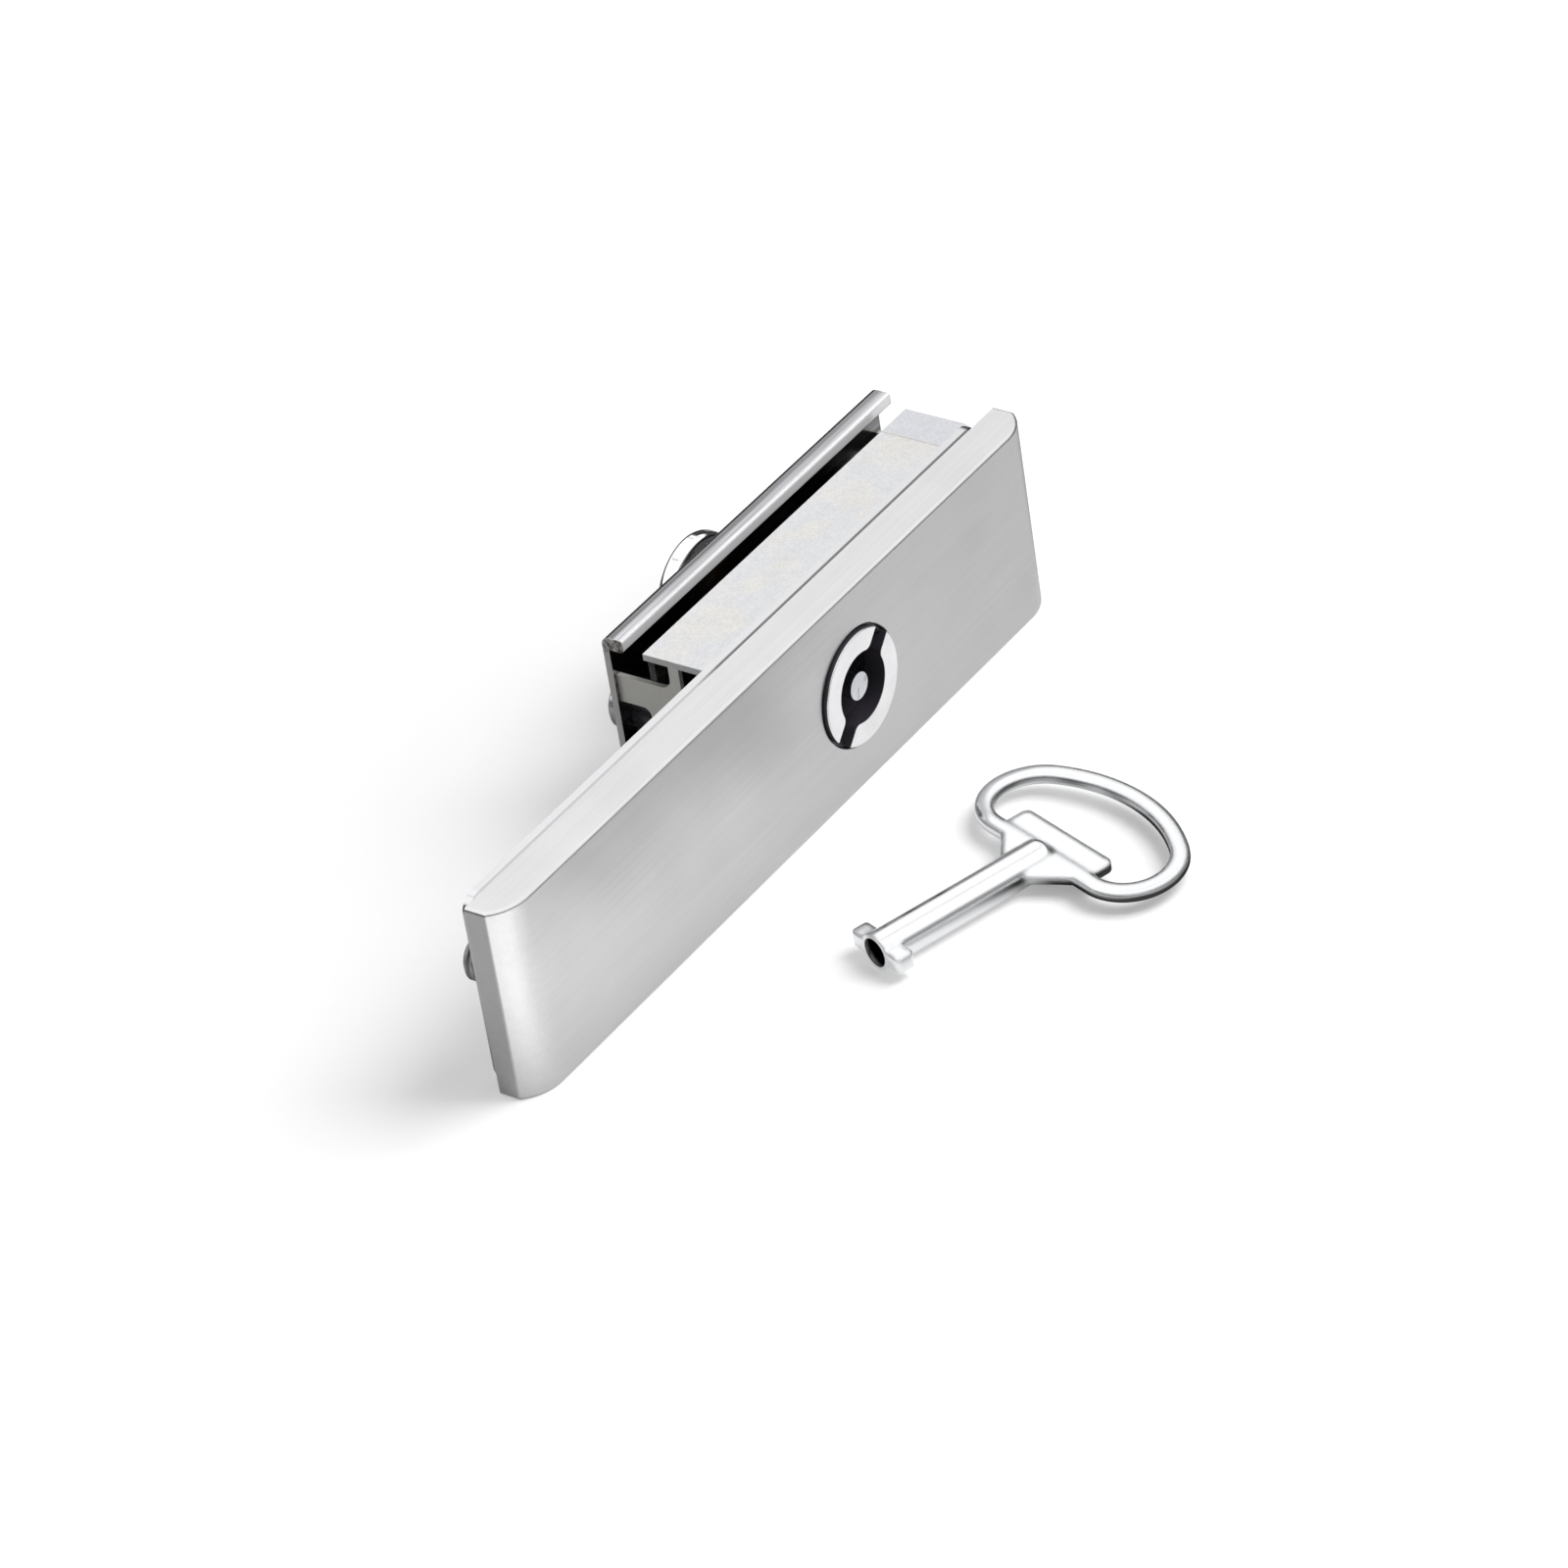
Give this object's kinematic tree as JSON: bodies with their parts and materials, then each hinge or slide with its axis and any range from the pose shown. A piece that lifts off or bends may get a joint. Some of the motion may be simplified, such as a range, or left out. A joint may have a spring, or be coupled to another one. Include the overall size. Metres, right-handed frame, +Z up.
{
  "type": "cabinet rod lock",
  "caption": "Flat-faced cabinet rod lock with a double-bit key core, geared rod disc, clamping bracket behind the door, and its loose hollow key.",
  "frame": {"origin": "on the key axis at the front face of the plate, which is also the free end of the centre pin that the hollow key fits over", "axes": "X along the plate, with the plate's long end towards -X; Y from the front face to the back of the lock; Z up, across the plate, which stands on its lower long edge"},
  "size_m": [0.1505, 0.1054, 0.036],
  "materials": {
    "brushed_stainless": "brushed along its length",
    "bright_steel": "bright",
    "zinc_steel": "zinc plated",
    "black_metal": "black, semi-gloss",
    "chrome": "polished",
    "pin_steel": "turned",
    "o_ring_rubber": "matt",
    "spring_steel": "dark",
    "gear_steel": "machined",
    "galvanised_sheet": "galvanised, mottled",
    "grey_sheet": "satin",
    "bush_bronze": "sintered",
    "key_chrome": "polished casting"
  },
  "bodies": {
    "lock": {"face_plate": "brushed_stainless", "base_plate": "bright_steel", "cover_screws": "zinc_steel", "fixing_stud": "zinc_steel", "core_sleeve": "black_metal", "sleeve_nut": "zinc_steel", "housing_channel": "galvanised_sheet", "end_plate_left": "grey_sheet", "end_plate_right": "grey_sheet", "gear_cover": "black_metal", "pillars": "zinc_steel", "spacers": "zinc_steel", "rear_bracket": "chrome", "bracket_screws": "zinc_steel", "bracket_washers": "zinc_steel", "core_tail_bush": "bush_bronze", "spindle_front_bush": "bush_bronze", "spindle_rear_bush": "bush_bronze"},
    "core": {"core_face": "chrome", "core_barrel": "black_metal", "centre_pin": "pin_steel", "core_o_ring": "o_ring_rubber", "core_circlip": "spring_steel", "drive_gear": "gear_steel"},
    "spindle": {"output_spindle": "gear_steel", "driven_gear": "gear_steel", "spindle_circlip": "spring_steel", "rod_disc": "chrome", "disc_screw": "zinc_steel"},
    "key": {"key": "key_chrome"}
  },
  "joints": [
    {"name": "core_turn", "type": "hinge", "parent": "lock", "child": "core", "pos_m": [0, 0, 0], "axis": [0, 1, 0], "range_deg": [0, 90]},
    {"name": "spindle_turn", "type": "hinge", "parent": "lock", "child": "spindle", "pos_m": [0.0128, 0, 0], "axis": [0, 1, 0], "range_deg": [-90, 0]},
    {"name": "key_lift", "type": "slide", "parent": "lock", "child": "key", "axis": [0, 0, 1], "range_m": [0, 0.05]}
  ],
  "couplings": [
    {"joint": "spindle_turn", "follows": "core_turn", "ratio": -1}
  ]
}
